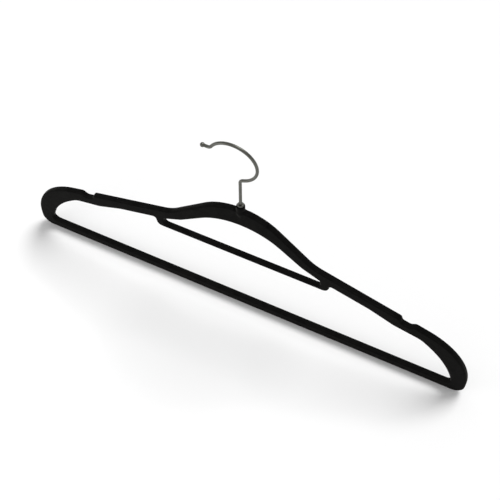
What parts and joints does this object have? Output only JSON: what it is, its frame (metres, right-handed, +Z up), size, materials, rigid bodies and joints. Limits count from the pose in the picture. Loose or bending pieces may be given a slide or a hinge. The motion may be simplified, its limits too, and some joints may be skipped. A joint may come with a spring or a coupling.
{
  "type": "clothes hanger",
  "caption": "Thin flocked suit hanger with rounded shoulders, strap notches, trouser bar, tie bar and a swivelling wire hook.",
  "frame": {"origin": "rod seat, the lowest point of the inside of the hook's arc, on the hanger's mid-plane", "axes": "+X along the shoulders, away from the hook's mouth; +Y through the thickness, from front to back; +Z up along the stem"},
  "size_m": [0.445, 0.0078, 0.2365],
  "materials": {
    "core": "moulded black ABS, satin",
    "flock": "short upright nylon flock, matte black velvet",
    "hook": "black nickel plate, satin",
    "ferrule": "turned steel, black nickel plate, satin"
  },
  "bodies": {
    "hook": {"hook_wire": "hook", "hook_ball_tip": "hook"},
    "frame": {"frame_core": "core", "velvet_flock": "flock", "stem_ferrule": "ferrule"}
  },
  "joints": [
    {"name": "frame_swivel", "type": "hinge", "parent": "hook", "child": "frame", "pos_m": [0.006, 0, -0.0775], "axis": [0, 0, 1], "continuous": true}
  ]
}
